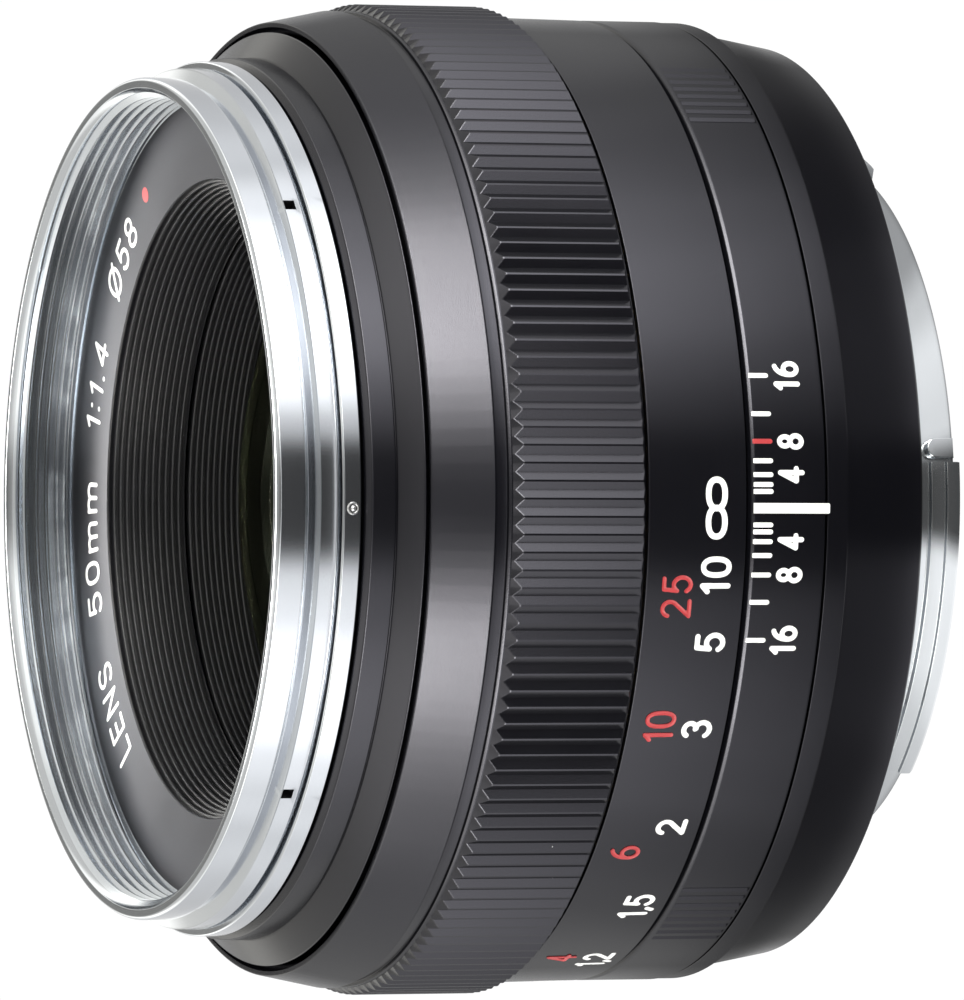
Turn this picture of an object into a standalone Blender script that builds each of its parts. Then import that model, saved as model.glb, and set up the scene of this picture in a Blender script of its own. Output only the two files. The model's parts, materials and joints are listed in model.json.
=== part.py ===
"""Manual-focus 50 mm f/1.4 lens, standing on its bayonet with the optical axis along +Z.

The index mark faces -Y. Focus numbers run from -Y toward -X.
Lengths below are in millimetres and are scaled to metres when a mesh is made.
"""
import math

import bmesh
import bpy
from mathutils import Vector

MM = 0.001
RING_SIDES = 36
LENS_SIDES = 24

# Heights above the rear of the bayonet
FLANGE_BACK = 5.6
FLANGE_FRONT = 6.2
SHELL_BACK = 6.5
SHELL_STEP = 12.2
SHELL_FRONT = 13.6
DEPTH_BACK = 14.0
DEPTH_FRONT = 19.65
SCALE_BACK = 20.2
SCALE_FRONT = 27.2
GRIP_BACK = 27.5
GRIP_FRONT = 43.0
FRONT_RIM = 52.8

# Outer radii
THROAT_R = 24.9
THROAT_BORE_R = 22.8
LUG_R = 26.2
FLANGE_R = 32.4
SHELL_BACK_R = 33.0
SHELL_R = 34.6
DEPTH_R = 34.65
SCALE_R = 34.75
GRIP_R = 35.5
LIP_R = 30.0

# Mount
LUG_HEIGHT = 1.9
LUGS = ((-7.0, 47.0), (-118.0, -62.0), (113.0, 167.0))
SCREW_CIRCLE_R = 28.4
SCREW_AZIMUTHS = (35.0, 145.0, -35.0, -145.0)
PIN_COUNT = 7
PIN_STEP = 6.6

# Focusing
KEY_AZIMUTHS = (90.0, -90.0)

# Iris
BLADES = 9
BLADE_PITCH = 0.28
BLADE_THICK = 0.13
BLADE_FLOOR = 22.15
PIVOT_R = 17.9
BLADE_INNER_R = 12.7
BLADE_OUTER_R = 18.9
BLADE_SWEEP = 84.0


def clear_scene():
    for obj in list(bpy.data.objects):
        bpy.data.objects.remove(obj, do_unlink=True)


def material(name, colour, roughness, metallic, transmission=0.0):
    mat = bpy.data.materials.new(name)
    mat.use_nodes = True
    shader = mat.node_tree.nodes["Principled BSDF"]
    shader.inputs["Base Color"].default_value = (*colour, 1.0)
    shader.inputs["Roughness"].default_value = roughness
    shader.inputs["Metallic"].default_value = metallic
    shader.inputs["Transmission Weight"].default_value = transmission
    return mat


def around(radius, azimuth, height):
    """A point at an azimuth in degrees, counted from -Y toward -X."""
    angle = math.radians(azimuth)
    return Vector((-radius * math.sin(angle), -radius * math.cos(angle), height))


def finish(name, bm, mat, origin=(0.0, 0.0, 0.0)):
    """Store a mesh drawn in millimetres, with its origin at the given point."""
    bmesh.ops.translate(bm, verts=bm.verts, vec=-Vector(origin))
    bmesh.ops.scale(bm, verts=bm.verts, vec=(MM, MM, MM))
    bmesh.ops.recalc_face_normals(bm, faces=bm.faces)
    mesh = bpy.data.meshes.new(name)
    bm.to_mesh(mesh)
    bm.free()
    mesh.materials.append(mat)
    obj = bpy.data.objects.new(name, mesh)
    obj.location = Vector(origin) * MM
    bpy.context.scene.collection.objects.link(obj)
    mesh.shade_smooth()
    mesh.set_sharp_from_angle(angle=math.radians(35.0))
    return obj


def add_ring(bm, profile, sides=RING_SIDES):
    """A turned ring: the closed profile of (radius, height) points goes round the axis."""
    loops = []
    for step in range(sides):
        azimuth = 360.0 * step / sides
        loops.append([bm.verts.new(around(r, azimuth, z)) for r, z in profile])
    count = len(profile)
    for step in range(sides):
        here, there = loops[step], loops[(step + 1) % sides]
        for i in range(count):
            j = (i + 1) % count
            bm.faces.new((here[i], here[j], there[j], there[i]))


def ring(name, profile, mat, sides=RING_SIDES, centre_z=0.0):
    bm = bmesh.new()
    add_ring(bm, profile, sides)
    return finish(name, bm, mat, (0.0, 0.0, centre_z))


def add_arc_block(bm, inner_r, outer_r, low, high, start, end, steps):
    """A block that is a slice of a ring."""
    rows = []
    for step in range(steps + 1):
        azimuth = start + (end - start) * step / steps
        corners = ((inner_r, low), (outer_r, low), (outer_r, high), (inner_r, high))
        rows.append([bm.verts.new(around(r, azimuth, z)) for r, z in corners])
    for here, there in zip(rows, rows[1:]):
        for i in range(4):
            j = (i + 1) % 4
            bm.faces.new((here[i], here[j], there[j], there[i]))
    bm.faces.new(rows[0])
    bm.faces.new(list(reversed(rows[-1])))


def add_rod(bm, centre, direction, sections, sides=10):
    """A round rod: sections of (distance along, radius) from one flat end to the other."""
    turn = Vector(direction).normalized().to_track_quat("Z", "Y").to_matrix()
    loops = []
    for along, radius in sections:
        loop = []
        for step in range(sides):
            angle = 2.0 * math.pi * step / sides
            local = Vector((radius * math.cos(angle), radius * math.sin(angle), along))
            loop.append(bm.verts.new(Vector(centre) + turn @ local))
        loops.append(loop)
    for here, there in zip(loops, loops[1:]):
        for i in range(sides):
            j = (i + 1) % sides
            bm.faces.new((here[i], here[j], there[j], there[i]))
    bm.faces.new(list(reversed(loops[0])))
    bm.faces.new(loops[-1])


def helper(name, bm, mat):
    """A shape used only by a Boolean."""
    obj = finish(name, bm, mat)
    obj.hide_render = True
    obj.display_type = "WIRE"
    return obj


def boolean(obj, other, operation):
    step = obj.modifiers.new(operation.title(), "BOOLEAN")
    step.operation = operation
    step.solver = "EXACT"
    step.object = other


def sag(radius, curve):
    """How far a spherical surface drops from its vertex at a radius."""
    if curve == 0.0:
        return 0.0
    size = abs(curve)
    return math.copysign(size - math.sqrt(size * size - radius * radius), curve)


def lens(name, front, front_curve, back, back_curve, edge_r, mat, back_edge_r=None):
    """A glass element: a positive curve bulges toward the front."""
    bm = bmesh.new()
    rings = []
    back_r = back_edge_r or edge_r
    for fraction in (0.5, 1.0):
        radius = edge_r * fraction
        rings.append((radius, front - sag(radius, front_curve)))
    back_rings = []
    for fraction in (1.0, 0.5):
        radius = back_r * fraction
        back_rings.append((radius, back - sag(radius, back_curve)))
    if back_edge_r:
        back_rings.insert(0, (edge_r, back_rings[0][1]))
    loops = []
    for radius, height in rings + back_rings:
        loops.append([bm.verts.new(around(radius, 360.0 * i / LENS_SIDES, height)) for i in range(LENS_SIDES)])
    tip = bm.verts.new((0.0, 0.0, front))
    tail = bm.verts.new((0.0, 0.0, back))
    for i in range(LENS_SIDES):
        j = (i + 1) % LENS_SIDES
        bm.faces.new((tip, loops[0][i], loops[0][j]))
        bm.faces.new((tail, loops[-1][j], loops[-1][i]))
        for here, there in zip(loops, loops[1:]):
            bm.faces.new((here[i], there[i], there[j], here[j]))
    return finish(name, bm, mat)


def build_mount(chrome, steel, black, gold, board_green, brass, black_metal):
    bm = bmesh.new()
    add_ring(bm, (
        (THROAT_R, 0.0), (THROAT_R, FLANGE_BACK), (FLANGE_R, FLANGE_BACK), (FLANGE_R, FLANGE_FRONT),
        (31.4, FLANGE_FRONT), (31.4, 7.4), (THROAT_BORE_R, 7.4), (THROAT_BORE_R, 0.0),
    ))
    mount = finish("bayonet_mount", bm, chrome)
    bm = bmesh.new()
    for start, end in LUGS:
        add_arc_block(bm, THROAT_R - 1.0, LUG_R, 0.0, LUG_HEIGHT, start, end, 6)
    boolean(mount, helper("lug_blank", bm, chrome), "UNION")
    bm = bmesh.new()
    for azimuth in SCREW_AZIMUTHS:
        add_rod(bm, around(SCREW_CIRCLE_R, azimuth, 0.0), (0, 0, 1), ((5.0, 1.9), (6.6, 1.9), (6.6001, 1.15), (8.0, 1.15)))
    boolean(mount, helper("mount_screw_holes", bm, chrome), "DIFFERENCE")

    barrel = ring("main_barrel", (
        (24.6, 7.8), (31.8, 7.8), (31.8, 13.2), (32.8, 13.6), (32.8, 21.6), (30.8, 21.6), (30.8, 9.1), (24.6, 9.1),
    ), black_metal)
    bm = bmesh.new()
    for azimuth in SCREW_AZIMUTHS:
        add_rod(bm, around(SCREW_CIRCLE_R, azimuth, 0.0), (0, 0, 1), ((7.0, 1.15), (10.0, 1.15)))
    boolean(barrel, helper("barrel_screw_holes", bm, chrome), "DIFFERENCE")

    for number, azimuth in enumerate(SCREW_AZIMUTHS, start=1):
        bm = bmesh.new()
        centre = around(SCREW_CIRCLE_R, azimuth, 0.0)
        add_rod(bm, centre, (0, 0, 1), ((5.7, 1.55), (6.25, 1.55), (6.26, 0.8), (8.8, 0.8)))
        finish(f"mount_screw_{number}", bm, steel)

    bm = bmesh.new()
    add_rod(bm, around(26.0, -9.6, 1.2), around(1.0, -9.6, 0.0), ((-0.75, 0.7), (0.1, 0.7)), sides=12)
    finish("lug_stop_pin", bm, steel)

    bm = bmesh.new()
    add_arc_block(bm, 18.4, 22.4, 0.9, 4.6, 153.0, 207.0, 6)
    finish("contact_block", bm, black)
    for number in range(1, PIN_COUNT + 1):
        bm = bmesh.new()
        azimuth = 180.0 + (number - (PIN_COUNT + 1) / 2) * PIN_STEP
        add_rod(bm, around(20.6, azimuth, 0.0), (0, 0, 1), ((0.2, 0.8), (0.6, 0.8)), sides=8)
        finish(f"contact_pin_{number}", bm, gold)

    ring("rear_baffle", ((15.6, 1.2), (17.9, 1.2), (17.9, 6.4), (15.6, 6.4)), black)
    ring("circuit_board", ((16.6, 9.5), (27.4, 9.5), (27.4, 10.3), (16.6, 10.3)), board_green)
    for number, azimuth in enumerate(KEY_AZIMUTHS, start=1):
        bm = bmesh.new()
        add_arc_block(bm, 28.6, 30.4, 12.0, 21.4, azimuth - 3.2, azimuth + 3.2, 1)
        finish(f"guide_key_{number}", bm, brass)


def build_shells(black_anodised):
    ring("rear_shell", (
        (32.2, SHELL_BACK), (SHELL_BACK_R, SHELL_BACK), (34.1, SHELL_STEP - 0.1), (SHELL_R, SHELL_STEP),
        (SHELL_R, SHELL_FRONT), (33.1, SHELL_FRONT), (33.1, SHELL_STEP), (32.2, 11.0),
    ), black_anodised)
    ring("depth_scale_ring", (
        (33.15, DEPTH_BACK), (DEPTH_R, DEPTH_BACK), (DEPTH_R, DEPTH_FRONT - 0.35),
        (DEPTH_R - 0.35, DEPTH_FRONT), (33.15, DEPTH_FRONT),
    ), black_anodised)


def build_focus(black_anodised, brass):
    middle = (GRIP_BACK + GRIP_FRONT) / 2
    ring("focus_grip_ring", (
        (34.1, GRIP_FRONT), (35.0, 38.6), (35.05, 37.3), (GRIP_R, 36.8), (GRIP_R, 27.9), (35.0, GRIP_BACK),
        (33.25, GRIP_BACK), (33.25, 42.1), (33.75, GRIP_FRONT),
    ), black_anodised, centre_z=middle)
    ring("distance_scale_ring", (
        (33.35, SCALE_BACK), (SCALE_R - 0.1, SCALE_BACK), (SCALE_R, SCALE_FRONT), (33.35, SCALE_FRONT),
    ), black_anodised, centre_z=(SCALE_BACK + SCALE_FRONT) / 2)
    ring("focus_helicoid", (
        (29.95, 22.0), (32.85, 22.0), (32.85, 29.0), (30.9, 29.0), (30.9, 40.0), (29.95, 40.0),
    ), brass, centre_z=31.0)


def build_front(silver, black_anodised, black_metal):
    ring("front_bayonet_ring", (
        (29.2, FRONT_RIM), (29.8, FRONT_RIM), (LIP_R, 52.6), (LIP_R, 50.65), (29.45, 50.3), (30.6, 49.75),
        (31.2, 48.4), (31.2, 47.05), (28.55, 47.05), (28.55, 48.6), (29.05, 48.8), (29.05, 52.4),
    ), silver)
    ring("front_barrel", (
        (31.2, 46.75), (31.5, 46.4), (31.5, 44.55), (33.4, 43.25), (33.4, 43.1), (32.7, 43.0), (32.7, 30.6),
        (31.6, 30.6), (31.6, 41.4), (28.4, 41.4), (28.4, 43.0), (30.2, 43.0), (30.2, 46.75),
    ), black_anodised)
    ring("name_ring", ((28.2, 47.85), (23.1, 47.15), (23.1, 46.5), (28.2, 47.0)), black_anodised)
    ring("baffle_front", (
        (22.75, 47.0), (20.85, 41.8), (21.9, 41.8), (23.3, 46.1), (22.9, 46.3),
    ), black_metal)
    ring("baffle_rear", ((20.6, 41.45), (19.5, 38.05), (20.4, 38.05), (21.5, 41.45)), black_metal)


def build_optics(glass, black_metal, silver):
    barrel = ring("lens_barrel", ((28.25, 10.0), (29.5, 10.0), (29.5, 41.0), (28.25, 41.0)), black_metal)
    bm = bmesh.new()
    for azimuth in KEY_AZIMUTHS:
        add_arc_block(bm, 27.0, 30.6, 9.0, 24.0, azimuth - 4.0, azimuth + 4.0, 1)
    boolean(barrel, helper("key_slots", bm, silver), "DIFFERENCE")

    ring("front_lens_cell", (
        (19.75, 37.6), (19.75, 36.3), (16.4, 36.1), (16.4, 29.9), (14.45, 29.9), (14.45, 25.0), (15.4, 25.0),
        (17.4, 29.0), (17.4, 31.0), (27.9, 31.0), (27.9, 32.4), (21.0, 32.4), (21.0, 37.6),
    ), black_metal)
    ring("rear_lens_cell", (
        (12.85, 21.1), (12.85, 10.95), (13.4, 10.9), (13.4, 2.9), (14.9, 2.9), (14.9, 17.5), (27.9, 17.5),
        (27.9, 18.8), (14.9, 18.8), (14.3, 21.1),
    ), black_metal)
    ring("rear_retaining_ring", ((12.6, 1.9), (14.7, 1.9), (14.7, 2.6), (12.6, 2.6)), black_metal)

    lens("element_1", 42.5, 40.0, 38.0, 150.0, 19.3, glass)
    lens("element_2", 37.6, 25.0, 33.2, 45.0, 16.0, glass)
    lens("element_3", 31.8, 80.0, 30.4, 16.5, 14.0, glass, back_edge_r=12.2)
    lens("element_4", 17.2, -22.0, 15.9, 60.0, 12.5, glass)
    lens("element_5", 15.78, 60.0, 10.2, -26.0, 12.5, glass)
    lens("element_6", 9.8, -120.0, 6.2, -32.0, 13.0, glass)
    lens("element_7", 5.8, 80.0, 2.9, -90.0, 13.0, glass)


def build_iris(black_metal, steel):
    ring("iris_housing", (
        (13.3, 21.45), (22.3, 21.45), (22.3, 25.6), (21.8, 25.6), (21.8, 21.8), (13.3, 21.8),
    ), black_metal)
    ring("iris_drive_ring", ((19.8, 22.2), (21.4, 22.2), (21.4, 24.4), (19.8, 24.4)), black_metal, centre_z=23.3)
    bm = bmesh.new()
    add_rod(bm, around(25.2, 40.0, 19.2), (0, 0, 1), ((0.0, 2.3), (8.0, 2.3)), sides=16)
    finish("iris_motor", bm, steel)
    for number in range(1, BLADES + 1):
        azimuth = 360.0 * (number - 1) / BLADES
        build_blade(number, azimuth, black_metal)


def build_blade(number, azimuth, mat):
    """A thin crescent that swings on a pivot at its wide end."""
    low = BLADE_FLOOR + (number - 1) * BLADE_PITCH
    high = low + BLADE_THICK
    steps = 7
    outline = []
    for step in range(steps + 1):
        along = BLADE_SWEEP * step / steps
        outline.append(around(BLADE_OUTER_R, azimuth - along, 0.0))
    for step in range(steps, -1, -1):
        along = BLADE_SWEEP * step / steps
        outline.append(around(BLADE_INNER_R, azimuth - along, 0.0))
    bm = bmesh.new()
    bottom = [bm.verts.new((p.x, p.y, low)) for p in outline]
    top = [bm.verts.new((p.x, p.y, high)) for p in outline]
    count = len(outline)
    last = count - 1
    for i in range(steps):
        bm.faces.new((bottom[i], bottom[i + 1], bottom[last - i - 1], bottom[last - i]))
        bm.faces.new((top[i + 1], top[i], top[last - i], top[last - i - 1]))
    for i in range(count):
        j = (i + 1) % count
        bm.faces.new((bottom[i], bottom[j], top[j], top[i]))
    pivot = around(PIVOT_R, azimuth - 4.0, (low + high) / 2)
    finish(f"iris_blade_{number}", bm, mat, pivot)


def main():
    clear_scene()
    chrome = material("chrome_plate", (0.78, 0.79, 0.80), 0.12, 1.0)
    silver = material("silver_anodised", (0.75, 0.76, 0.77), 0.28, 1.0)
    steel = material("steel", (0.62, 0.62, 0.63), 0.3, 1.0)
    brass = material("brass", (0.72, 0.55, 0.28), 0.3, 1.0)
    gold = material("gold_plate", (0.9, 0.68, 0.3), 0.2, 1.0)
    black_anodised = material("black_anodised", (0.05, 0.05, 0.055), 0.35, 0.6)
    black_metal = material("black_metal", (0.02, 0.02, 0.022), 0.5, 0.4)
    black_plastic = material("black_plastic", (0.02, 0.02, 0.02), 0.5, 0.0)
    board_green = material("board_green", (0.03, 0.16, 0.07), 0.5, 0.0)
    glass = material("optical_glass", (0.92, 0.96, 0.94), 0.02, 0.0, 1.0)

    build_mount(chrome, steel, black_plastic, gold, board_green, brass, black_metal)
    build_shells(black_anodised)
    build_focus(black_anodised, brass)
    build_front(silver, black_anodised, black_metal)
    build_optics(glass, black_metal, silver)
    build_iris(black_metal, steel)


main()
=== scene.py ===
"""The looks of the 50 mm f/1.4 lens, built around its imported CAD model.

Radii, heights and widths are in millimetres in the part's frame: the lens stands on its bayonet, +Z is the
optical axis toward the front, the index mark faces -Y, and azimuths are degrees from -Y toward -X.
"""
import json
import math

import bmesh
import bpy
import numpy as np
from mathutils import Matrix, Vector


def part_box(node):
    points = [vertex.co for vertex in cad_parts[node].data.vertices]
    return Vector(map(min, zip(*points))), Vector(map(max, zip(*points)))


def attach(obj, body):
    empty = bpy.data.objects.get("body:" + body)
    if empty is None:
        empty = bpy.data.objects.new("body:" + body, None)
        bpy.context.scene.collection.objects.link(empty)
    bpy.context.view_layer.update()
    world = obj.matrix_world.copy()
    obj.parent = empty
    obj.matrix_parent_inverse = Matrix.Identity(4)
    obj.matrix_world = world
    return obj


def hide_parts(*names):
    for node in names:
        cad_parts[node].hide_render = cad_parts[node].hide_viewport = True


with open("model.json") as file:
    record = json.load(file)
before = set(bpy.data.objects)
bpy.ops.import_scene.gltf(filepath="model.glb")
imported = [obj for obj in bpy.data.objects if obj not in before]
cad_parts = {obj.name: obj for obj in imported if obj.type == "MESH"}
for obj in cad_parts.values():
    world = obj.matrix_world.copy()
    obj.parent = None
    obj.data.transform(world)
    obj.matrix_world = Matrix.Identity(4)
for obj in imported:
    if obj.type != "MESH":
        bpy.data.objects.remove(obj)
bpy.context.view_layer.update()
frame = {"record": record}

MM = 0.001
UPWARD = Vector((0.0, 0.0, 1.0))
BODY_OF = {node: body for body, nodes in frame["record"]["behaviour"]["bodies"].items() for node in nodes}


def top(node):
    """The front end of a CAD node."""
    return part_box(node)[1].z / MM


def bottom(node):
    """The rear end of a CAD node."""
    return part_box(node)[0].z / MM


def outer(node):
    """The outer radius of a turned CAD node."""
    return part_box(node)[1].y / MM


# Driving sizes, from the frame
RIM = top("front_bayonet_ring")
LIP_R = 30.0
BAND_R = outer("front_bayonet_ring")
GRIP_R = outer("focus_grip_ring")
GRIP_FRONT = top("focus_grip_ring")
GRIP_BACK = bottom("focus_grip_ring")
SCALE_FRONT = top("distance_scale_ring")
SCALE_BACK = bottom("distance_scale_ring")
SCALE_R = outer("distance_scale_ring")
SCALE_SKIRT = SCALE_BACK - 0.34
SCALE_TAPER = 0.1
DEPTH_FRONT = top("depth_scale_ring")
DEPTH_BACK = bottom("depth_scale_ring")
DEPTH_R = outer("depth_scale_ring")
SHELL_FRONT = top("rear_shell")
SHELL_BACK = bottom("rear_shell")
SHELL_R = outer("rear_shell")
SHELL_SKIRT = SHELL_BACK - 0.55

EDGE = 0.07          # how far a turned edge is broken
COLUMNS = 360        # columns round a ring that shows
INNER_COLUMNS = 180  # columns round a ring inside

# Filter thread
PITCH = 0.75
THREAD_MAJOR_R = 29.05
THREAD_MINOR_R = 28.6

# Grip
RIBS = 180
RIB_DEPTH = 0.33
RIB_CREST = 0.14
GRIP_VALLEY_FRONT = 37.2
GRIP_VALLEY_BACK = 27.66
LAND_R = 34.98

# Scales
FOCAL_LENGTH = 0.05      # metres, as the distances are
FOCUS_DEGREES = 1535.0   # turn of the focus ring for a magnification of 1
DEPTH_DEGREES = 0.963    # turn that one f-number covers
FOOT = 0.3048

# Camera, as the photograph saw the standing lens, with its front to the left
CAMERA_DISTANCE = 798.1
CAMERA_ELEVATION = 18.988
CAMERA_AZIMUTH = 0.82
LOOK_DOWN = 20.763
ROLL = -0.213
CAMERA_LENS = 403.2
SENSOR = 36.0


# Camera, floor and light

def add_camera():
    """Seen from 20 degrees in front of the side, turned so that the lens axis lies across the picture."""
    e = math.radians(LOOK_DOWN)
    forward = Vector((0.0, math.cos(e), -math.sin(e)))
    right = Vector((0.0, -math.sin(e), -math.cos(e)))
    down = forward.cross(right)
    c, s = math.cos(math.radians(ROLL)), math.sin(math.radians(ROLL))
    right, down = c * right + s * down, c * down - s * right
    up = math.radians(CAMERA_ELEVATION)
    place = Vector((0.0, -math.cos(up), math.sin(up))) * CAMERA_DISTANCE
    turn = Matrix.Rotation(math.radians(CAMERA_AZIMUTH), 3, "Z")
    basis = Matrix((turn @ right, -(turn @ down), -(turn @ forward))).transposed()
    data = bpy.data.cameras.new("camera")
    data.sensor_width = SENSOR
    data.lens = CAMERA_LENS
    data.clip_start = 0.05
    data.clip_end = 20.0
    camera = bpy.data.objects.new("camera", data)
    camera.matrix_world = Matrix.Translation((turn @ place + Vector((0, 0, RIM))) * MM) @ basis.to_4x4()
    bpy.context.scene.collection.objects.link(camera)
    bpy.context.scene.camera = camera


def node(tree, kind, inputs=(), **settings):
    """Add a shader node; kind leaves out "ShaderNode", inputs are (socket, value or output) pairs."""
    made = tree.nodes.new("ShaderNode" + kind)
    for key, value in settings.items():
        setattr(made, key, value)
    for socket, value in inputs:
        if isinstance(value, bpy.types.NodeSocket):
            tree.links.new(value, made.inputs[socket])
        else:
            made.inputs[socket].default_value = value
    return made


def maths(tree, operation, *values):
    return node(tree, "Math", list(enumerate(values)), operation=operation).outputs[0]


def ramp(tree, value, stops):
    """A smooth curve through (position, grey) stops, in rising order."""
    made = node(tree, "ValToRGB", [("Fac", value)])
    elements = made.color_ramp.elements
    elements.remove(elements[1])
    elements[0].position = stops[0][0]
    for element, grey in [(elements[0], stops[0][1])] + [(elements.new(p), g) for p, g in stops[1:]]:
        element.color = (grey, grey, grey, 1.0)
    made.color_ramp.interpolation = "EASE"
    return made.outputs["Color"]


def noise(tree, place, scale, detail):
    inputs = [("Vector", place), ("Scale", scale), ("Detail", detail)]
    return node(tree, "TexNoise", inputs).outputs["Fac"]


def blend(tree, share, low, high):
    """A mix of two colours."""
    inputs = [("Factor", share), (6, low), (7, high)]
    return node(tree, "Mix", inputs, data_type="RGBA").outputs[2]


def remap(tree, *values):
    """A value moved from one range to another, which is 0 to 1 if it isn't given."""
    sockets = ("Value", "From Min", "From Max", "To Min", "To Max")
    return node(tree, "MapRange", zip(sockets, values)).outputs[0]


def new_material(name):
    made = bpy.data.materials.new(name)
    made.use_nodes = True
    return made, made.node_tree


def take_surface(tree, shader):
    """Let a shader take the place of the plain one."""
    tree.links.new(shader.outputs[0], tree.nodes["Material Output"].inputs["Surface"])
    tree.nodes.remove(tree.nodes["Principled BSDF"])


def shine(tree, strength):
    take_surface(tree, node(tree, "Emission", [("Color", (1.0, 1.0, 1.0, 1.0)), ("Strength", strength)]))


def azimuth_of(tree, x, y):
    """Degrees from -Y toward -X, as 0 to 1 for -180 to 180."""
    angle = maths(tree, "ARCTAN2", maths(tree, "MULTIPLY", x, -1.0), maths(tree, "MULTIPLY", y, -1.0))
    return maths(tree, "ADD", maths(tree, "DIVIDE", angle, 2.0 * math.pi), 0.5)


def level(tree, value, stops):
    """A smooth curve through (position, value) stops whose values may pass 1."""
    peak = max(height for _, height in stops)
    shape = ramp(tree, value, [(position, height / peak) for position, height in stops])
    return maths(tree, "MULTIPLY", shape, peak)


def level_round(tree, round_, stops):
    """The same curve with its stops in degrees of azimuth."""
    return level(tree, round_, [((azimuth + 180.0) / 360.0, value) for azimuth, value in stops])


# Floor and light table, in metres
FLOOR_GLOW = 1.02
FLOOR_RADIUS = 4.0
FLOOR_HEIGHT = -0.0004
TABLE_RADIUS = 0.3
TABLE_HEIGHT = -0.0002

# What goes round is (azimuth, strength), what goes out is (millimetres from the axis, share), and what goes
# up the sky is (sine of the height, share or strength); the dark strip is (sideways part, share)
TABLE_ROUND = ((-180, 0), (-118, 0), (-95, 0.45), (-81, 1.2), (-68, 2.3), (-58, 3.2), (-47, 4.2), (-36, 3.8),
               (-27, 2.1), (-19, 1.0), (-12, 0.06), (10, 0.06), (19, 1.4), (27, 1.6), (36, 2.2), (47, 2.5),
               (58, 2.1), (68, 1.4), (81, 0.8), (95, 0.4), (118, 0), (180, 0))
# These are painted shadow of the lens on the light table: TABLE_OUT's dark reach out to 50 mm and its slow
# rise to 150 mm, the dark middles of SIDE_OUT and NEAR_OUT, and NEAR_OUT's dim ring from 41 to 52 mm.
TABLE_OUT = ((0.0, 0.0), (50, 0.0), (66, 0.26), (78, 0.36), (95, 0.57), (150, 1.0), (300, 1.0))
SIDE_ROUND = ((-180, 0.85), (-140, 0.75), (-110, 0.95), (-90, 0.6), (-65, 0.1), (-50, 0), (50, 0), (65, 0.2),
              (90, 0.7), (110, 1.0), (140, 0.8), (180, 0.85))
SIDE_OUT = ((0.0, 0.0), (26, 0.0), (32, 0.3), (50, 0.32), (64, 0.8), (80, 1.0), (300, 1.0))
NEAR_ROUND = ((-180, 0.3), (-70, 0.5), (-48, 0.55), (-38, 1.0), (-28, 1.35), (-14, 1.2), (-7.5, 0.1),
              (4.5, 0.1), (10, 1.5), (30, 1.4), (45, 1.0), (60, 0.8), (90, 0.6), (180, 0.3))
NEAR_OUT = ((0.0, 0.0), (24, 0.0), (25.5, 1.0), (37, 1.0), (41, 0.12), (52, 0.12), (60, 0.0))
SKY_ROUND = ((-180, 1.0), (-150, 1.6), (-130, 1.3), (-112, 1.3), (-90, 2.8), (-77, 5.8), (-60, 14.5),
             (-35, 15.0), (-22, 6.0), (-14, 0.8), (-6, 0.05), (4, 0.05), (13, 1.2), (20, 4.6), (28, 12.0),
             (44, 12.0), (60, 5.0), (75, 2.8), (110, 1.2), (130, 1.0), (150, 1.6), (180, 1.0))
SIDE_BAND = ((0.0, 1.0), (0.12, 1.0), (0.28, 0.0))
CEILING = ((0.0, 0.5), (0.3, 0.95), (0.5, 0.95), (0.64, 0.95), (0.8, 1.4), (0.92, 1.9), (1.0, 1.6))
DARK_STRIP = ((0.08, 0.3), (0.34, 1.0))
FAR_BOX = 35.0
FAR_ROUND = ((-180, 1), (-168, 1), (-150, 0), (150, 0), (168, 1), (180, 1))
FAR_BAND = ((0.66, 0.0), (0.78, 1.0), (0.92, 1.0), (0.98, 0.0))
SKY_TINT = (1.0, 0.99, 0.94, 1.0)


def add_floor():
    """A pale floor, and a light table on it that only reflections see, with a painted shadow of the lens in
    its dark middle and dim ring.
    """
    white, tree = new_material("floor_pale")
    shine(tree, FLOOR_GLOW)
    add_disc("floor", FLOOR_RADIUS, FLOOR_HEIGHT, white)

    light, tree = new_material("light_table")
    place = node(tree, "NewGeometry").outputs["Position"]
    part = node(tree, "SeparateXYZ", [("Vector", place)]).outputs
    out = node(tree, "VectorMath", [(0, place)], operation="LENGTH").outputs["Value"]
    out = maths(tree, "DIVIDE", out, TABLE_RADIUS)
    round_ = azimuth_of(tree, part[0], part[1])
    strength = 0.0
    for levels, reaches in ((TABLE_ROUND, TABLE_OUT), (SIDE_ROUND, SIDE_OUT), (NEAR_ROUND, NEAR_OUT)):
        reach = ramp(tree, out, [(r * MM / TABLE_RADIUS, value) for r, value in reaches])
        zone = maths(tree, "MULTIPLY", level_round(tree, round_, levels), reach)
        strength = maths(tree, "ADD", zone, strength)
    shine(tree, strength)
    table = add_disc("light_table", TABLE_RADIUS, TABLE_HEIGHT, light)
    table.visible_camera = False


def add_disc(name, radius, height, material):
    bm = bmesh.new()
    bmesh.ops.create_circle(bm, cap_ends=True, segments=128, radius=radius)
    disc = new_object(name, bm, [material])
    disc.location.z = height
    return disc


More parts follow.
